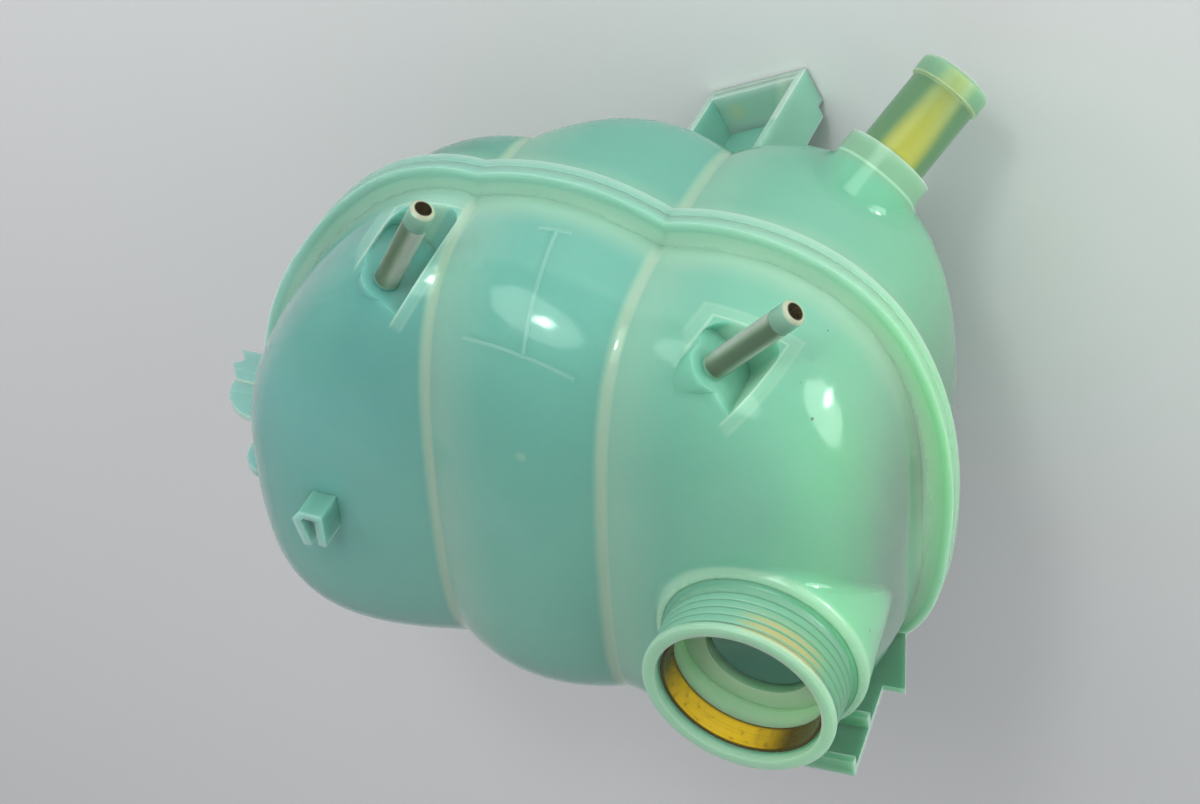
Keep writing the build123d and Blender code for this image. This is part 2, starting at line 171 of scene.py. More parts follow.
low_aim = Vector((-0.0075, -0.0703, -0.0429))
soft_lamp("panel_front", tank_middle, (0.16, -0.83, 0.53), 1.2, 1.30, 0.76, 5.6, -27.0)
soft_lamp("core_front", tank_middle, (0.02, -0.83, 0.56), 1.1, 0.18, 0.15, 1.8)
fills = [soft_lamp("fill_left", tank_middle, (0.69, -0.58, 0.42), 1.1, 0.40, 0.40, 1.0),
         soft_lamp("fill_right", tank_middle, (-0.80, -0.50, 0.36), 1.3, 1.20, 0.85, 2.8)]
for lamp in fills:
    lamp.visible_glossy = False
low_lamps = [soft_lamp("panel_low", low_aim, (-0.87, -0.42, -0.13), 0.34, 0.24, 0.18, 0.40),
             soft_lamp("core_low", low_aim, (-0.86, -0.42, -0.28), 0.30, 0.035, 0.060, 0.085)]
tank_only = bpy.data.collections.new("tank_only")
for node in solids.values():
    tank_only.objects.link(node)
for lamp in low_lamps:
    lamp.light_linking.receiver_collection = tank_only
print("lamps:", [lamp.name for lamp in bpy.data.lights])

# %% Sky
sky = bpy.data.worlds.new("sky")
sky.use_nodes = True
sky.node_tree.nodes["Background"].inputs["Color"].default_value = (0.97, 0.98, 1.0, 1.0)
sky.node_tree.nodes["Background"].inputs["Strength"].default_value = 0.38
bpy.context.scene.world = sky
print("world:", sky.name)


# %% [markdown]
# ## Node helpers
# Every finish is a small tree of shader nodes. These helpers add a node and join its inputs, so that a
# finish reads as a list of what it is made of.

# %% Node helpers: adding and joining
def put(tree, kind, inputs=None, **options):
    """Adds a shader node; each input is a plain value or the output of another node."""
    made = tree.nodes.new("ShaderNode" + kind)
    for name, value in options.items():
        setattr(made, name, value)
    for name, value in (inputs or {}).items():
        if isinstance(value, bpy.types.NodeSocket):
            tree.links.new(value, made.inputs[name])
        else:
            made.inputs[name].default_value = value
    return made


def maths(tree, operation, *values):
    """Output of a Math node."""
    return put(tree, "Math", dict(enumerate(values)), operation=operation).outputs[0]


def product(tree, *values):
    """Several masks multiplied together."""
    made = values[0]
    for value in values[1:]:
        made = maths(tree, "MULTIPLY", made, value)
    return made


def most(tree, *values):
    """The strongest of several masks."""
    made = values[0]
    for value in values[1:]:
        made = maths(tree, "MAXIMUM", made, value)
    return made


def blend(tree, share, first, second):
    """Mix of two colours."""
    made = put(tree, "Mix", data_type="RGBA")
    for socket, value in ((made.inputs[0], share), (made.inputs[6], first), (made.inputs[7], second)):
        if isinstance(value, bpy.types.NodeSocket):
            tree.links.new(value, socket)
        else:
            socket.default_value = value
    return made.outputs[2]


# %% Node helpers: masks
def ramp(tree, value, low, high, start=0.0, end=1.0):
    """A value that goes smoothly from start to end as the input goes from low to high."""
    limits = {"Value": value, "From Min": low, "From Max": high, "To Min": start, "To Max": end}
    return put(tree, "MapRange", limits, interpolation_type="SMOOTHSTEP").outputs["Result"]


def band(tree, value, middle, half, soft, strength=1.0):
    """A mask round one value, flat within half and soft beyond it."""
    away = maths(tree, "ABSOLUTE", maths(tree, "SUBTRACT", value, middle))
    return ramp(tree, away, half, half + soft, strength, 0.0)


def between(tree, value, low, high, soft=0.0002):
    """A mask that is one between two values."""
    return band(tree, value, (low + high) / 2, (high - low) / 2, soft)


def facing(tree, first, second):
    """How far two directions agree."""
    return put(tree, "VectorMath", {0: first, 1: second}, operation="DOT_PRODUCT").outputs["Value"]


def edge_on(tree, normal, way):
    """A mask that is one where a surface is turned square to the given direction, and zero along it."""
    return ramp(tree, maths(tree, "ABSOLUTE", facing(tree, normal, way)), 0.03, 0.97, 1.0, 0.0)


def spot(tree, where, middle, radius, soft):
    """A round mask about a point."""
    away = put(tree, "VectorMath", {0: where, 1: middle}, operation="DISTANCE").outputs["Value"]
    return ramp(tree, away, radius, radius + soft, 1.0, 0.0)


def noise(tree, where, scale, **inputs):
    """Output of a Noise texture."""
    return put(tree, "TexNoise", {"Vector": where, "Scale": scale, **inputs}).outputs["Fac"]


# %% [markdown]
# ## Measuring along an axis
# The outlet, the spigots, the neck and the plates need a pattern that follows their own axis. One group
# of nodes measures how far along an axis a point lies and how far away from it, and is placed wherever
# that is needed.

# %% Shared effect: measuring along an axis
def new_group(name, inputs, outputs):
    """An empty node group with named inputs and outputs."""
    group = bpy.data.node_groups.new(name, "ShaderNodeTree")
    for label, kind in inputs:
        group.interface.new_socket(label, in_out="INPUT", socket_type="NodeSocket" + kind)
    for label, kind in outputs:
        group.interface.new_socket(label, in_out="OUTPUT", socket_type="NodeSocket" + kind)
    return group, group.nodes.new("NodeGroupInput").outputs, group.nodes.new("NodeGroupOutput").inputs


def reached(tree, where, root, way):
    """Distance along a direction from a point."""
    return facing(tree, put(tree, "VectorMath", {0: where, 1: root}, operation="SUBTRACT").outputs[0], way)


axis_group, given, result = new_group(
    "along_axis", [("Point", "Vector"), ("Root", "Vector"), ("Way", "Vector")],
    [("Along", "Float"), ("Away", "Float")])
tree = axis_group
offset = put(tree, "VectorMath", {0: given["Point"], 1: given["Root"]}, operation="SUBTRACT").outputs[0]
reach = facing(tree, offset, given["Way"])
on_axis = put(tree, "VectorMath", {0: given["Way"], 3: reach}, operation="SCALE").outputs[0]
side = put(tree, "VectorMath", {0: offset, 1: on_axis}, operation="DISTANCE").outputs["Value"]
tree.links.new(reach, result["Along"])
tree.links.new(side, result["Away"])
print("group:", axis_group.name)


def measured(tree, where, root, way):
    """Distance along and away from an axis, as two outputs."""
    made = put(tree, "Group", node_tree=axis_group)
    tree.links.new(where, made.inputs["Point"])
    made.inputs["Root"].default_value = root
    made.inputs["Way"].default_value = way
    return made.outputs["Along"], made.outputs["Away"]

# %% [markdown]
# ## Milky plastic
# The plastic is polypropylene, tinted green and lit from inside by light that soaks through its thin
# wall. Random walk subsurface scattering follows the light through the real thickness of the solids: with
# a scatter distance a few times the wall, thin walls glow and thick lips look paler. What both halves
# share is one group: the neck side is a yellower green and the far lobe a bluer one, darker towards its
# front with painted shade; the plastic is paler at the weld and in the creases, where a painted highlight
# runs along each crease and on one side of it; and it has clouds and dust.

# %% Shared effect: tint of the milky plastic
neck_green = (0.22, 0.59, 0.38, 1.0)
edge_green = (0.23, 0.94, 0.32, 1.0)
middle_green = (0.175, 0.50, 0.40, 1.0)
far_blue = (0.18, 0.51, 0.47, 1.0)
far_front_shade = (0.12, 0.38, 0.34, 1.0)
back_pale = (0.30, 0.64, 0.47, 1.0)
cloud_pale = (0.32, 0.68, 0.53, 1.0)
edge_to_neck = (-0.034, 0.004)
neck_to_middle = (-0.010, 0.060)
middle_to_far = (0.070, 0.130)
far_front = (-0.065, -0.030)
front_to_back = (-0.06, 0.05)
back_share = 0.35
cloud_share = 0.25

milky_group, given, result = new_group(
    "milky_plastic", [("Point", "Vector")], [("Tint", "Color"), ("Roughness", "Float"), ("Height", "Float")])
tree = milky_group
point = given["Point"]
place = put(tree, "SeparateXYZ", {"Vector": point})
along_x, along_y, along_z = (place.outputs[name] for name in "XYZ")
tint = blend(tree, ramp(tree, along_x, *edge_to_neck), edge_green, neck_green)
tint = blend(tree, ramp(tree, along_x, *neck_to_middle), tint, middle_green)
far = ramp(tree, along_x, *middle_to_far)
tint = blend(tree, far, tint, far_blue)
# Painted shade: the far lobe darkens towards its front.
tint = blend(tree, product(tree, far, ramp(tree, along_y, *far_front, 1.0, 0.0)), tint, far_front_shade)
tint = blend(tree, ramp(tree, along_y, *front_to_back, 0.0, back_share), tint, back_pale)
cloud = noise(tree, point, 16.0, Detail=3.0, Distortion=0.6)
tint = blend(tree, ramp(tree, cloud, 0.3, 0.7, 0.0, cloud_share), tint, cloud_pale)
print("group:", tree.name)

# %% Shared effect: weld and creases of the milky plastic
low_deep = (0.09, 0.29, 0.20, 1.0)
lip_pale = (0.56, 0.86, 0.56, 1.0)
crease_pale = (0.58, 0.88, 0.58, 1.0)
low_fade = (weld_z - 0.010, weld_z - 0.004)
low_share = 0.75
lip_fade = (0.0034, 0.0085)
lip_share = 0.22
root_start = (0.0026, 0.0036)
root_fade = (0.0050, 0.0165)
root_share = 0.42
crease_half = 0.0004
crease_soft = 0.0026
crease_share = 0.66
crease_highlight_reach = 0.022
crease_highlight_gap = 0.001
crease_highlight_end = 0.002
crease_highlight_share = 0.26
weld_clear = (0.0040, 0.0110)

from_weld = maths(tree, "ABSOLUTE", maths(tree, "SUBTRACT", along_z, weld_z))
low = product(tree, far, ramp(tree, along_z, *low_fade, low_share, 0.0))
tint = blend(tree, low, tint, low_deep)
lip = ramp(tree, from_weld, *lip_fade, 1.0, 0.0)
root = product(tree, ramp(tree, from_weld, *root_start), ramp(tree, from_weld, *root_fade, root_share, 0.0))
tint = blend(tree, most(tree, root, product(tree, lip, lip_share)), tint, lip_pale)
# Each crease gets a pale line, partly thicker plastic and partly painted highlight, and a painted highlight
# on one side of it.
for crease_x in crease_places:
    line = band(tree, along_x, crease_x, crease_half, crease_soft, crease_share)
    rise = ramp(tree, along_x, crease_x - crease_highlight_reach, crease_x - crease_highlight_gap, 0.0, crease_highlight_share)
    crease_highlight = product(tree, rise, ramp(tree, along_x, crease_x, crease_x + crease_highlight_end, 1.0, 0.0))
    pale = product(tree, most(tree, line, crease_highlight), ramp(tree, from_weld, *weld_clear))
    tint = blend(tree, pale, tint, crease_pale)
print("creases:", len(crease_places))

# %% Shared effect: dust and gloss of the milky plastic
speck_dark = (0.05, 0.09, 0.07, 1.0)
speck_chance = 0.55
speck_size = (0.015, 0.030)
speck_share = 0.8
gloss_range = (0.09, 0.16)
lip_dull = 0.2
grain_share = 0.02

dust = put(tree, "TexVoronoi", {"Vector": point, "Scale": 75.0})
chance = put(tree, "SeparateColor", {"Color": dust.outputs["Color"]}).outputs[0]
kept = maths(tree, "GREATER_THAN", chance, speck_chance)
speck = product(tree, ramp(tree, dust.outputs["Distance"], *speck_size, speck_share, 0.0), kept)
tint = blend(tree, speck, tint, speck_dark)
smudge = noise(tree, point, 70.0, Detail=4.0, Roughness=0.7)
gloss = ramp(tree, smudge, 0.35, 0.75, *gloss_range)
wave = noise(tree, point, 55.0, Detail=1.0)
grain = noise(tree, point, 1400.0, Detail=1.0)
tree.links.new(tint, result["Tint"])
tree.links.new(maths(tree, "MULTIPLY_ADD", lip, lip_dull, gloss), result["Roughness"])
tree.links.new(maths(tree, "MULTIPLY_ADD", grain, grain_share, wave), result["Height"])
print("group:", tree.name, len(tree.nodes), "nodes")

# %% Milky plastic: start and end of a material
plastic_ior = 1.47


def start_plastic(name):
    """A new milky plastic: its material, place, direction and shared effect."""
    material = bpy.data.materials.new(name)
    material.use_nodes = True
    tree = material.node_tree
    where = put(tree, "TexCoord").outputs["Object"]
    normal = put(tree, "NewGeometry").outputs["Normal"]
    shared = put(tree, "Group", node_tree=milky_group)
    tree.links.new(where, shared.inputs["Point"])
    return material, where, normal, shared.outputs


def end_plastic(material, tint, roughness, height):
    """Joins colour, gloss and waves to the shader and sets how the light scatters inside."""
    tree = material.node_tree
    shader = tree.nodes["Principled BSDF"]
    tree.links.new(tint, shader.inputs["Base Color"])
    tree.links.new(roughness, shader.inputs["Roughness"])
    bump = put(tree, "Bump", {"Strength": 0.25, "Distance": 0.0006, "Height": height})
    tree.links.new(bump.outputs["Normal"], shader.inputs["Normal"])
    shader.inputs["IOR"].default_value = plastic_ior
    shader.inputs["Specular IOR Level"].default_value = 0.74
    shader.inputs["Specular Tint"].default_value = (0.78, 1.0, 0.86, 1.0)
    shader.inputs["Subsurface Weight"].default_value = 1.0
    shader.inputs["Subsurface Radius"].default_value = (1.0, 1.0, 1.0)
    shader.inputs["Subsurface Scale"].default_value = 0.012
    print(material.name, len(tree.nodes), "nodes")


# %% Upper half: start
upper, where, normal, shared = start_plastic("upper_plastic_milky")
tree = upper.node_tree
place = put(tree, "SeparateXYZ", {"Vector": where})
along_x, along_y, along_z = (place.outputs[name] for name in "XYZ")
tint = shared["Tint"]
print("started", upper.name)

# %% [markdown]
# ### Niches and spigots
# Each spigot stands in a niche, whose inside is darkened a little with painted shade. Where the niche's
# wall meets the dome one looks down into its thickness, so it shows as a pale border between two fine
# lines, which are painted highlights on its lips. The spigot itself is tinted as far as its metal sleeve
# reaches, with painted shade as a dark streak on the sleeve's side away from the light and at its root;
# past the sleeve there is a thin line, a deeper tip with a cream rim, and a bore dark with painted shade.

# %% Upper half: niches
niche_shade = (0.15, 0.42, 0.34, 1.0)
niche_shade_share = 0.10
niche_edge = (-0.0008, 0.0)
niche_start = (-0.0040, -0.0020)
niche_reach = (0.0200, 0.0265)
border_pale = (0.54, 0.82, 0.60, 1.0)
border_width = 0.0030
border_trim = 0.0006
border_soft = 0.0010
border_share = 0.18
line_half = 0.0001
mouth_place = 0.0003
mouth_soft = 0.0005
mouth_share = 0.50
outer_soft = 0.0009
outer_share = 0.26


def past_walls(tree, value, middle, half):
    """How far a value lies past two walls; it is negative between them."""
    away = maths(tree, "ABSOLUTE", maths(tree, "SUBTRACT", value, middle))
    return maths(tree, "SUBTRACT", away, half)


for vent in spigots:
    along, away = measured(tree, where, vent["root"], vent["way"])
    across = reached(tree, where, vent["root"], vent["across"])
    width_middle = (vent["right"] - vent["left"]) / 2
    height_middle = vent["root"].z + (vent["head"] - vent["sill"]) / 2
    from_side = past_walls(tree, across, width_middle, (vent["right"] + vent["left"]) / 2)
    from_end = past_walls(tree, along_z, height_middle, (vent["head"] + vent["sill"]) / 2)
    beyond = most(tree, from_side, from_end)
    near = product(tree, ramp(tree, along, *niche_start), ramp(tree, away, *niche_reach, 1.0, 0.0))
    # Painted shade inside the niche.
    niche_inside_shade = product(tree, near, ramp(tree, beyond, *niche_edge, niche_shade_share, 0.0))
    tint = blend(tree, niche_inside_shade, tint, niche_shade)
    # The mouth and outer lines are painted highlights on the niche's lips; the border between them is its
    # thicker plastic.
    mouth_line = band(tree, beyond, mouth_place, line_half, mouth_soft, mouth_share)
    outer_line = band(tree, beyond, border_width, line_half, outer_soft, outer_share)
    border_half = border_width / 2 - border_trim
    border = band(tree, beyond, border_width / 2, border_half, border_soft, border_share)
    tint = blend(tree, product(tree, near, most(tree, mouth_line, outer_line, border)), tint, border_pale)
print("niches:", len(spigots))

# %% Upper half: spigots
sleeve_green = (0.58, 0.98, 0.58, 1.0)
sleeve_shade_and_end_line = (0.065, 0.125, 0.070, 1.0)
root_shade = (0.10, 0.11, 0.07, 1.0)
tip_green = (0.17, 0.38, 0.26, 1.0)
tip_cream = (0.52, 0.54, 0.30, 1.0)
bore_shade = (0.010, 0.007, 0.004, 1.0)
shade_sides = (Vector((0.11, -0.10, 0.99)), Vector((0.5, -0.25, 0.83)))
shade_turn = (0.55, 0.97)
spigot_skin = (spigot_radius + 0.0002, spigot_radius + 0.0006)
spigot_start = (0.0004, 0.0014)
bore_skin = (spigot_bore + 0.0001, spigot_bore + 0.0005)
bore_start = (-0.014, -0.012)
root_reach = (0.001, 0.007)
tip_fade = 0.001
sleeve_fade = 0.0005
sleeve_share = 0.9
end_line_soft = 0.0003
rim_depth = 0.0009
rim_full = 0.0003

for vent, shade_side in zip(spigots, shade_sides):
    end = vent["length"]
    start = end - sleeve_short
    along, away = measured(tree, where, vent["root"], vent["way"])
    on_spigot = product(tree, ramp(tree, away, *spigot_skin, 1.0, 0.0), ramp(tree, along, *spigot_start))
    tip = product(tree, on_spigot, ramp(tree, along, start, start + tip_fade, 0.0, 0.9))
    tint = blend(tree, tip, tint, tip_green)
    covered = ramp(tree, along, start - sleeve_fade, start + sleeve_fade, 1.0, 0.0)
    sleeve = product(tree, on_spigot, covered)
    tint = blend(tree, product(tree, sleeve, sleeve_share), tint, sleeve_green)
    # Painted shade: a dark streak on the side of the sleeve turned from the light, and darker towards its
    # root.
    shade = product(tree, sleeve, ramp(tree, facing(tree, normal, shade_side), *shade_turn, 0.0, 0.9))
    tint = blend(tree, shade, tint, sleeve_shade_and_end_line)
    tint = blend(tree, product(tree, sleeve, ramp(tree, along, *root_reach, 0.6, 0.0)), tint, root_shade)
    line = band(tree, along, start, line_half, end_line_soft, 0.5)
    tint = blend(tree, product(tree, on_spigot, line), tint, sleeve_shade_and_end_line)
    rim = ramp(tree, along, end - rim_depth, end - rim_full, 0.0, 0.8)
    tint = blend(tree, product(tree, on_spigot, rim), tint, tip_cream)
    # Painted shade down the bore.
    bore = product(tree, ramp(tree, along, *bore_start), ramp(tree, away, *bore_skin, 1.0, 0.0))
    tint = blend(tree, bore, tint, bore_shade)
print("spigots tinted:", len(spigots))

# %% [markdown]
# ### Neck and level mark
# A painted glow shows the brass ring through the neck on the side that is turned to the light, painted
# shade darkens the deep hole inside the neck, and the neck's shoulder is pale. The level mark is a line
# with a stem and a short foot, raised so little that it shows by its paleness alone.

# %% The ring's glow
gold_glow_tint = (0.85, 0.56, 0.14, 1.0)
gold_glow_share = 0.55
gold_glow_turn = (0.82, 1.0)
gold_middle = -0.0012
gold_half = 0.0012
gold_soft = 0.0055
neck_glow_side = Vector((-0.45, -0.89, 0.0)).normalized()


def painted_gold_glow(tree, normal, height):
    """A mask for the painted glow of the brass ring through the neck, on the side turned to the light."""
    turned = ramp(tree, facing(tree, normal, neck_glow_side), *gold_glow_turn)
    return product(tree, turned, band(tree, height, gold_middle, gold_half, gold_soft), gold_glow_share)


# %% Upper half: neck
tower_deep = (0.17, 0.45, 0.32, 1.0)
stem_pale = (0.27, 0.55, 0.39, 1.0)
rim_pale = (0.46, 0.80, 0.46, 1.0)
bore_pale = (0.60, 0.88, 0.52, 1.0)
hole_shade = (0.07, 0.26, 0.13, 1.0)
neck_start = (-0.0170, -0.0130)
neck_reach = (0.0300, 0.0310)
neck_wall = (0.0232, 0.0240)
tower_share = 0.55
stem_span = (-0.0128, 0.0006)
stem_skin = (0.0262, 0.0270)
bore_span = (-0.0260, 0.0)
bore_wall = (0.0222, 0.0226)
hole_span = (-0.0300, -0.0120)
hole_wall = (0.0151, 0.0154)
gold_skin = (0.0250, 0.0255)
shoulder_z = -0.0148
shoulder_radius = 0.0285
shoulder_share = 0.40
rim_span = (0.0000, 0.0012)

neck_along, neck_away = measured(tree, where, neck_root, up)
in_neck = product(tree, ramp(tree, neck_along, *neck_start), ramp(tree, neck_away, *neck_reach, 1.0, 0.0))
outside = ramp(tree, neck_away, *neck_wall)
tint = blend(tree, product(tree, in_neck, outside, tower_share), tint, tower_deep)
on_stem = ramp(tree, neck_away, *stem_skin, 0.7, 0.0)
tint = blend(tree, product(tree, outside, between(tree, neck_along, *stem_span), on_stem), tint, stem_pale)
in_bore = ramp(tree, neck_away, *bore_wall, 0.6, 0.0)
tint = blend(tree, product(tree, in_bore, between(tree, neck_along, *bore_span)), tint, bore_pale)
# Painted shade deep inside the neck.
in_hole = ramp(tree, neck_away, *hole_wall, 0.7, 0.0)
tint = blend(tree, product(tree, in_hole, between(tree, neck_along, *hole_span)), tint, hole_shade)
gold_glow = product(tree, in_neck, painted_gold_glow(tree, normal, neck_along), ramp(tree, neck_away, *gold_skin))
tint = blend(tree, gold_glow, tint, gold_glow_tint)
shoulder = product(tree, band(tree, neck_along, shoulder_z, 0.0010, 0.0016),
                   band(tree, neck_away, shoulder_radius, 0.0008, 0.0014), shoulder_share)
tint = blend(tree, shoulder, tint, lip_pale)
rim = product(tree, in_neck, ramp(tree, neck_along, *rim_span, 0.0, 0.5))
tint = blend(tree, rim, tint, rim_pale)
print("neck tinted:", len(tree.nodes), "nodes so far")

# %% Upper half: level mark
level_pale = (0.42, 0.76, 0.62, 1.0)
level_half = 0.0004
level_soft = 0.0003
level_front = (-0.055, -0.050)
level_share = 0.22
level_bars = (
    ((0.0706, -0.0720, -0.0274), (0.0872, 0.4210, 0.9029), (0.9962, -0.0369, -0.0790), 0.01575),
    ((0.0697, -0.0720, -0.0426), (0.9962, 0.0, 0.0872), (-0.0872, 0.0, 0.9962), 0.0152),
    ((0.0716, -0.0720, -0.0578), (-0.1650, 0.0, 0.9863), (0.9863, 0.0, 0.1650), 0.0045))

bars = []
for middle, thin, long, half in level_bars:
    thickness = band(tree, reached(tree, where, middle, thin), 0.0, level_half, level_soft)
    length = band(tree, reached(tree, where, middle, long), 0.0, half, level_soft)
    bars.append(product(tree, thickness, length))
mark = product(tree, most(tree, *bars), ramp(tree, along_y, *level_front, level_share, 0.0))
tint = blend(tree, mark, tint, level_pale)
print("level bars:", len(bars))

# %% [markdown]
# ### Plates
# The fin, the lugs, the clip and the foot are thin plates. One looks through their faces, and these are
# darkened with painted shade; one looks along their edges into the plastic, so the edges are pale, and a
# painted highlight adds to them. A plate's face is told from its edge by the way it is turned.

# %% Plates: faces and edges
plate_edge = (0.52, 0.84, 0.62, 1.0)
face_share = 0.85
edge_share = 0.6
rib_wall = 0.0022
turned_up = (0.90, 0.98)
lug_face_shade = (0.20, 0.45, 0.42, 1.0)
lug_root = Vector((0.0, 0.0129, 0.0))
lug_face = Vector((0.0, 1.0, 0.0))
lug_start = (0.164, 0.168)
lug_soft = 0.0002


def thin_plate(tree, tint, inside, edge, face_shade):
    """Darkens the faces of a plate with painted shade and makes its edges pale with a painted highlight."""
    face = product(tree, inside, maths(tree, "SUBTRACT", 1.0, edge), face_share)
    tint = blend(tree, face, tint, face_shade)
    return blend(tree, product(tree, inside, edge, edge_share), tint, plate_edge)


def lug_plates(tree, where, normal, tint, along_x):
    """Round lugs and teeth, which lie in one upright plane at the far end."""
    depth = band(tree, reached(tree, where, lug_root, lug_face), 0.0, rib_wall / 2, lug_soft)
    inside = product(tree, depth, ramp(tree, along_x, *lug_start))
    return thin_plate(tree, tint, inside, edge_on(tree, normal, lug_face), lug_face_shade)


# %% Upper half: fin and lugs
plate_face_shade = (0.03, 0.13, 0.08, 1.0)
fin_root = Vector((-0.0249, 0.0429, weld_z))
fin_turn = math.radians(8.0)
fin_way = Vector((math.cos(fin_turn), math.sin(fin_turn), 0.0))
fin_face = Vector((math.sin(fin_turn), -math.cos(fin_turn), 0.0))
fin_span = (-0.0070, 0.0290)
fin_thickness = (-0.0004, 0.0064)
fin_height = (weld_z + 0.0036, -0.0164)
fin_ribs = (-0.0168, -0.0328)
rib_soft = 0.0004
rib_share = 0.15

fin_along = reached(tree, where, fin_root, fin_way)
fin_depth = reached(tree, where, fin_root, fin_face)
in_fin = product(tree, between(tree, fin_along, *fin_span), between(tree, fin_depth, *fin_thickness),
                 between(tree, along_z, *fin_height))
not_top = ramp(tree, facing(tree, normal, up), *turned_up, 1.0, 0.3)
edge = product(tree, edge_on(tree, normal, fin_face), not_top)
for rib_z in fin_ribs:
    edge = most(tree, edge, band(tree, along_z, rib_z - rib_wall / 2, rib_wall / 2, rib_soft, rib_share))
tint = thin_plate(tree, tint, in_fin, edge, plate_face_shade)
tint = lug_plates(tree, where, normal, tint, along_x)
print("fin ribs:", len(fin_ribs))

# %% Upper half: clip, marks and gloss
clip_low = Vector((0.1262, -0.0092, -0.0235))
clip_high = Vector((0.1368, 0.0049, -0.0110))
clip_face_shade = (0.15, 0.35, 0.26, 1.0)
clip_face_shade_share = 0.6
clip_top = 0.0010
clip_top_highlight_share = 0.22
upright_turn = (0.02, 0.05)
gate_mark = Vector((0.0671, -0.0450, -0.0188))
gate_share = 0.20
dot_dark = Vector((-0.0062, -0.0678, -0.0348))
dot_share = 0.9
neck_dull = 0.2

in_clip = product(tree, between(tree, along_x, clip_low.x, clip_high.x),
                  between(tree, along_y, clip_low.y, clip_high.y),
                  between(tree, along_z, clip_low.z, clip_high.z))
# Painted shade on the clip's upright faces and a painted highlight along its top.
upright = ramp(tree, maths(tree, "ABSOLUTE", facing(tree, normal, up)), *upright_turn, 1.0, 0.0)
tint = blend(tree, product(tree, in_clip, upright, clip_face_shade_share), tint, clip_face_shade)
clip_top_highlight = ramp(tree, along_z, clip_high.z - clip_top, clip_high.z - clip_top / 2, 0.0, clip_top_highlight_share)
tint = blend(tree, product(tree, in_clip, clip_top_highlight), tint, plate_edge)
gate = product(tree, spot(tree, where, gate_mark, 0.0008, 0.0012), gate_share)
tint = blend(tree, gate, tint, crease_pale)
dot = product(tree, spot(tree, where, dot_dark, 0.0003, 0.0003), dot_share)
tint = blend(tree, dot, tint, speck_dark)
rough = maths(tree, "MULTIPLY_ADD", in_neck, neck_dull, shared["Roughness"])
end_plastic(upper, tint, rough, shared["Height"])
solids["upper_shell"].material_slots[0].material = upper

# %% [markdown]
# ### Outlet and foot
# The outlet's brass sleeve shows through its wall as a yellow streak of painted glow on the side that faces
# the light, strongest near the collar. The foot is a tray whose front edges are pale with a painted
# highlight and whose upward faces are paler with painted light, with a small yellow gate mark on its floor.

# %% Lower half: outlet
painted_brass_glow = (0.64, 0.64, 0.05, 1.0)
pipe_olive = (0.11, 0.26, 0.11, 1.0)
collar_pale = (0.28, 0.45, 0.30, 1.0)
lower_deep = (0.10, 0.32, 0.20, 1.0)
bead_pale = (0.50, 0.68, 0.34, 1.0)
glow_side = Vector((-0.38, -0.65, 0.66)).normalized()
below_fade = (weld_z - 0.010, weld_z - 0.003)
below_share = 0.18
collar_start = (-0.010, -0.005)
collar_skin = (0.0132, 0.0150)
root_line_place = -0.0064
root_line_skin = (0.0132, 0.0145)
pipe_start = (0.0002, 0.0012)
pipe_skin = (0.0109, 0.0113)
pipe_fade = (0.021, 0.025)
flame_share = 0.08
streak_narrow = (0.002, 0.028)
streak_turn = (0.76, 1.02)
streak_reach = (0.004, 0.029)
bead_place = outlet_length - 0.0060

lower, where, normal, shared = start_plastic("lower_plastic_milky")
tree = lower.node_tree
place = put(tree, "SeparateXYZ", {"Vector": where})
along_x, along_z = place.outputs["X"], place.outputs["Z"]
below = ramp(tree, along_z, *below_fade, below_share, 0.0)
tint = blend(tree, below, shared["Tint"], lower_deep)
along, away = measured(tree, where, outlet_root, outlet_way)
collar = product(tree, ramp(tree, along, *collar_start), ramp(tree, away, *collar_skin, 0.7, 0.0))
tint = blend(tree, collar, tint, collar_pale)
root_line = product(tree, band(tree, along, root_line_place, 0.0002, 0.0004, 0.5),
                    ramp(tree, away, *root_line_skin, 1.0, 0.0))
tint = blend(tree, root_line, tint, plate_edge)
in_pipe = product(tree, ramp(tree, along, *pipe_start), ramp(tree, away, *pipe_skin, 1.0, 0.0))
tint = blend(tree, product(tree, in_pipe, ramp(tree, along, *pipe_fade, 0.85, 0.3)), tint, pipe_olive)
# Painted glow of the brass sleeve on the side of the pipe turned to the light.
flame = noise(tree, where, 45.0, Detail=2.0)
lit = maths(tree, "MULTIPLY_ADD", flame, flame_share, facing(tree, normal, glow_side))
lit = maths(tree, "SUBTRACT", lit, ramp(tree, along, *streak_narrow, 0.0, 0.10))
brass_glow_streak = product(tree, ramp(tree, lit, *streak_turn), ramp(tree, along, *streak_reach, 0.72, 0.36), in_pipe)
tint = blend(tree, brass_glow_streak, tint, painted_brass_glow)
bead_line = product(tree, band(tree, along, bead_place, 0.0003, 0.0005, 0.6), in_pipe)
tint = blend(tree, bead_line, tint, bead_pale)
print("outlet tinted:", len(tree.nodes), "nodes so far")

# %% Lower half: foot, teeth and gloss
foot_root = Vector((0.0410, -0.0747, -0.1688))
foot_turn = math.radians(27.6)
foot_way = Vector((math.cos(foot_turn), math.sin(foot_turn), 0.0))
foot_inward = Vector((-math.sin(foot_turn), math.cos(foot_turn), 0.0))
foot_span = (-0.0003, 0.0333)
foot_deep = (-0.0003, 0.0153)
foot_top = (-0.1435, -0.1405)
foot_front = (0.0002, 0.0005)
foot_top_light = (0.56, 0.72, 0.60, 1.0)
foot_gate = Vector((0.0605, -0.0576, -0.1638))
foot_gate_share = 0.40
gate_yellow = (0.55, 0.58, 0.24, 1.0)
pipe_dull = 0.2

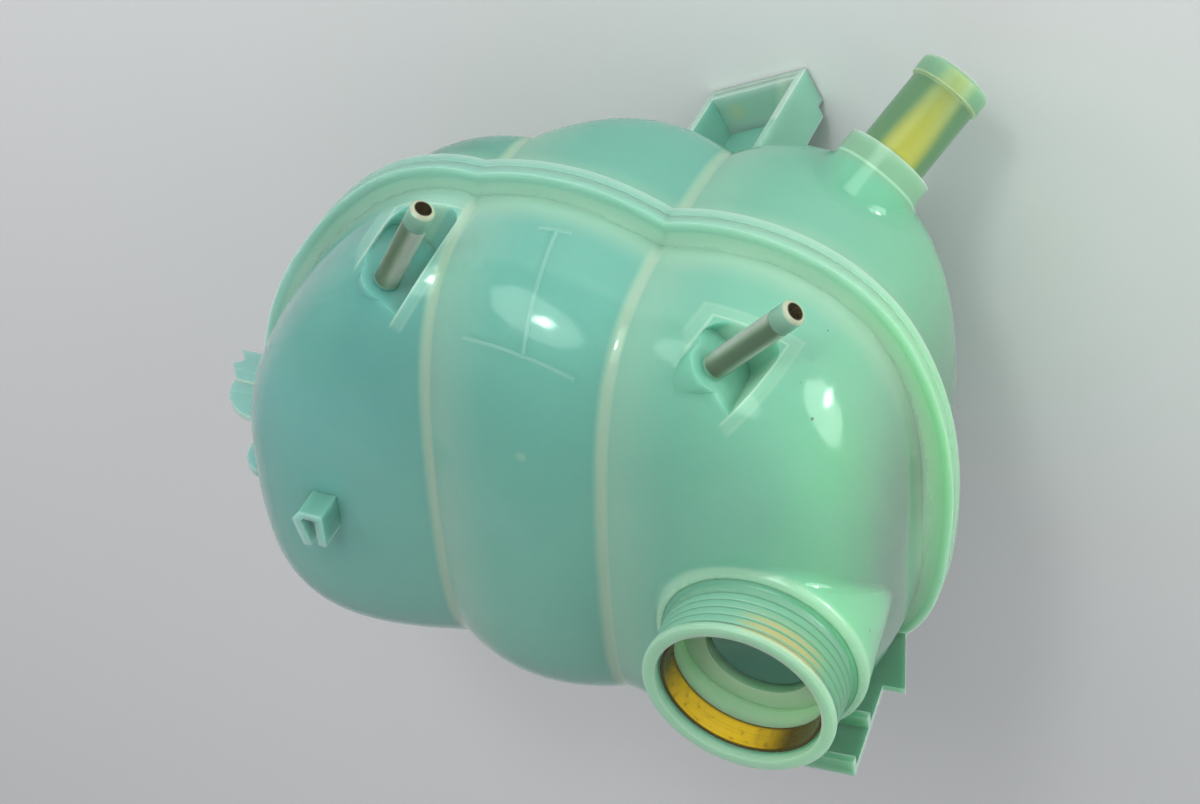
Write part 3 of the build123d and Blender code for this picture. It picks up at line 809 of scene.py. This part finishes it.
foot_along = reached(tree, where, foot_root, foot_way)
foot_depth = reached(tree, where, foot_root, foot_inward)
in_foot = product(tree, between(tree, foot_along, *foot_span), between(tree, foot_depth, *foot_deep),
                  ramp(tree, along_z, *foot_top, 1.0, 0.0))
# Pale front edges: thicker plastic seen edge-on, with a painted highlight.
front = product(tree, in_foot, ramp(tree, foot_depth, *foot_front, 0.7, 0.0))
tint = blend(tree, front, tint, plate_edge)
# Painted light: the tray's upward faces are paler.
lit_tray_top = product(tree, in_foot, ramp(tree, facing(tree, normal, up), *turned_up, 0.0, 0.40))
tint = blend(tree, lit_tray_top, tint, foot_top_light)
gate = product(tree, spot(tree, where, foot_gate, 0.0004, 0.0042), foot_gate_share)
tint = blend(tree, gate, tint, gate_yellow)
tint = lug_plates(tree, where, normal, tint, along_x)
rough = maths(tree, "MULTIPLY_ADD", in_pipe, pipe_dull, shared["Roughness"])
end_plastic(lower, tint, rough, shared["Height"])
solids["lower_shell"].material_slots[0].material = lower

# %% [markdown]
# ## Brass and steel
# The ring in the neck is turned brass: fine rings run round it and dark patina has settled in patches.
# Its rims are dark, partly patina and partly painted shadow where it meets the plastic, and painted shade
# darkens it away from its lit side. The sleeve in the outlet is the same brass, and the small tubes in the
# spigots are dull steel.

# %% Shared effect: turned metal
patch_range = (0.52, 0.70)
patch_share = 0.55
spot_range = (0.54, 0.70)
spot_share = 0.45

metal_group, given, result = new_group(
    "turned_metal", [("Point", "Vector"), ("Along", "Float"), ("Bright", "Color"), ("Dark", "Color")],
    [("Colour", "Color"), ("Roughness", "Float"), ("Height", "Float")])
tree = metal_group
patch = noise(tree, given["Point"], 90.0, Detail=6.0, Roughness=0.65)
spots = noise(tree, given["Point"], 520.0, Detail=4.0)
ring_inputs = {"W": given["Along"], "Scale": 2600.0, "Detail": 3.0}
rings = put(tree, "TexNoise", ring_inputs, noise_dimensions="1D").outputs["Fac"]
dark = most(tree, ramp(tree, patch, *patch_range, 0.0, patch_share),
            ramp(tree, spots, *spot_range, 0.0, spot_share),
            ramp(tree, rings, *spot_range, 0.0, spot_share))
tree.links.new(blend(tree, dark, given["Bright"], given["Dark"]), result["Colour"])
tree.links.new(ramp(tree, dark, 0.0, 0.8, 0.26, 0.5), result["Roughness"])
tree.links.new(rings, result["Height"])
print("group:", tree.name, len(tree.nodes), "nodes")


# %% Turned metal
def turned_metal(name, bright, dark, root, way, metallic, rims_patina_and_shadow=(), lit_side=None):
    """Metal with rings round an axis, dark with patina and painted shadow at each rim along that axis, and
    with painted shade away from its lit side.
    """
    made = bpy.data.materials.new(name)
    made.use_nodes = True
    tree = made.node_tree
    shader = tree.nodes["Principled BSDF"]
    where = put(tree, "TexCoord").outputs["Object"]
    along, _ = measured(tree, where, root, way)
    metal = put(tree, "Group", {"Point": where, "Along": along}, node_tree=metal_group)
    metal.inputs["Bright"].default_value = bright
    metal.inputs["Dark"].default_value = dark
    colour = metal.outputs["Colour"]
    # A dark band at each rim: partly patina, partly painted shadow where the ring meets the plastic.
    for rim, width in rims_patina_and_shadow:
        colour = blend(tree, band(tree, along, rim, width * 0.4, width * 0.6, 0.9), colour, dark)
    # Painted shade away from the lit side.
    if lit_side:
        turned = facing(tree, put(tree, "NewGeometry").outputs["Normal"], lit_side)
        colour = blend(tree, ramp(tree, turned, 0.45, 0.93, 0.95, 0.0), colour, dark)
    tree.links.new(colour, shader.inputs["Base Color"])
    tree.links.new(metal.outputs["Roughness"], shader.inputs["Roughness"])
    bump = put(tree, "Bump", {"Strength": 0.35, "Distance": 0.0002, "Height": metal.outputs["Height"]})
    tree.links.new(bump.outputs["Normal"], shader.inputs["Normal"])
    shader.inputs["Metallic"].default_value = metallic
    return made


# %% Brass and steel
brass_bright = (1.0, 0.63, 0.03, 1.0)
brass_dark = (0.065, 0.036, 0.007, 1.0)
steel_bright = (0.30, 0.29, 0.27, 1.0)
steel_dark = (0.05, 0.045, 0.04, 1.0)
ring_rims_patina_and_shadow = ((0.0, 0.0007), (-0.0080, 0.0008))
ring_lit_side = Vector((-0.45, -0.89, 0.0))

solids["neck_ring"].material_slots[0].material = turned_metal(
    "ring_brass_turned", brass_bright, brass_dark, neck_root, up, 0.1, ring_rims_patina_and_shadow, ring_lit_side)
solids["outlet_sleeve"].material_slots[0].material = turned_metal(
    "outlet_brass_turned", brass_bright, brass_dark, outlet_root, outlet_way, 0.7)
for node, vent in zip(("left_vent_sleeve", "right_vent_sleeve"), spigots):
    solids[node].material_slots[0].material = turned_metal(
        node + "_steel", steel_bright, steel_dark, vent["root"], vent["way"], 1.0)
print("materials:", sorted(material.name for material in bpy.data.materials))

# %% [markdown]
# ## Neck thread
# The neck carries a fine rounded thread of a few turns below the rim. A thread is a small section carried
# round the neck while it climbs, which is what Spin does when it is given a step along the axis. Its two
# ends run out into the neck, so the first and last sections are drawn in. It is too thin a body for light
# to scatter in, so its plastic is a plain one with the same painted gold glow.

# %% Thread plastic
thread_green = (0.22, 0.46, 0.33, 1.0)
thread_share = 0.6
thread_dull = 0.25

thread_plastic, where, normal, shared = start_plastic("thread_plastic_milky")
tree = thread_plastic.node_tree
shader = tree.nodes["Principled BSDF"]
height = put(tree, "SeparateXYZ", {"Vector": where}).outputs["Z"]
tint = blend(tree, thread_share, shared["Tint"], thread_green)
tint = blend(tree, painted_gold_glow(tree, normal, height), tint, gold_glow_tint)
tree.links.new(tint, shader.inputs["Base Color"])
tree.links.new(maths(tree, "ADD", shared["Roughness"], thread_dull), shader.inputs["Roughness"])
shader.inputs["IOR"].default_value = plastic_ior
print(thread_plastic.name, len(tree.nodes), "nodes")

# %% Neck thread: section and turns
neck_core = 0.0258
thread_crest = 0.02600
thread_sunk = 0.0004
thread_half = 0.0013
crest_half = 0.0006
foot_rise = 0.00003
crest_drop = 0.00005
thread_pitch = 0.0026
thread_low = -0.0112
thread_turns = 4.2
thread_steps = 240

section = [(neck_core - thread_sunk, -thread_half), (neck_core + foot_rise, -thread_half),
           (thread_crest - crest_drop, -crest_half), (thread_crest, 0.0),
           (thread_crest - crest_drop, crest_half), (neck_core + foot_rise, thread_half),
           (neck_core - thread_sunk, thread_half)]
shape = bmesh.new()
corners = [shape.verts.new((radius, 0.0, thread_low + rise)) for radius, rise in section]
for first, second in zip(corners, corners[1:] + corners[:1]):
    shape.edges.new((first, second))
climb = Vector((0.0, 0.0, thread_pitch * thread_turns / thread_steps))
bmesh.ops.spin(shape, geom=shape.verts[:] + shape.edges[:], cent=neck_root, axis=up, dvec=climb,
               angle=2.0 * math.pi * thread_turns, steps=thread_steps, use_merge=False)
print("thread sections:", len(shape.verts) // len(section))

# %% Neck thread: ends
thread_fade = 16

shape.verts.ensure_lookup_table()
count = len(section)
for step in range(thread_fade):
    sunk = 1.0 - step / thread_fade
    for ring in (step, thread_steps - step):
        for vert in shape.verts[ring * count:(ring + 1) * count]:
            flat_radius = math.hypot(vert.co.x, vert.co.y)
            wanted = flat_radius + (neck_core - thread_sunk - flat_radius) * sunk
            vert.co.x *= wanted / flat_radius
            vert.co.y *= wanted / flat_radius
bmesh.ops.holes_fill(shape, edges=[e for e in shape.edges if e.is_boundary])
bmesh.ops.recalc_face_normals(shape, faces=shape.faces)
for face in shape.faces:
    face.smooth = True
thread_mesh = bpy.data.meshes.new("neck_thread")
shape.to_mesh(thread_mesh)
shape.free()
thread = bpy.data.objects.new("neck_thread", thread_mesh)
bpy.context.scene.collection.objects.link(thread)
thread_mesh.materials.append(thread_plastic)
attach(thread, "root")
print("thread:", len(thread_mesh.polygons), "faces")
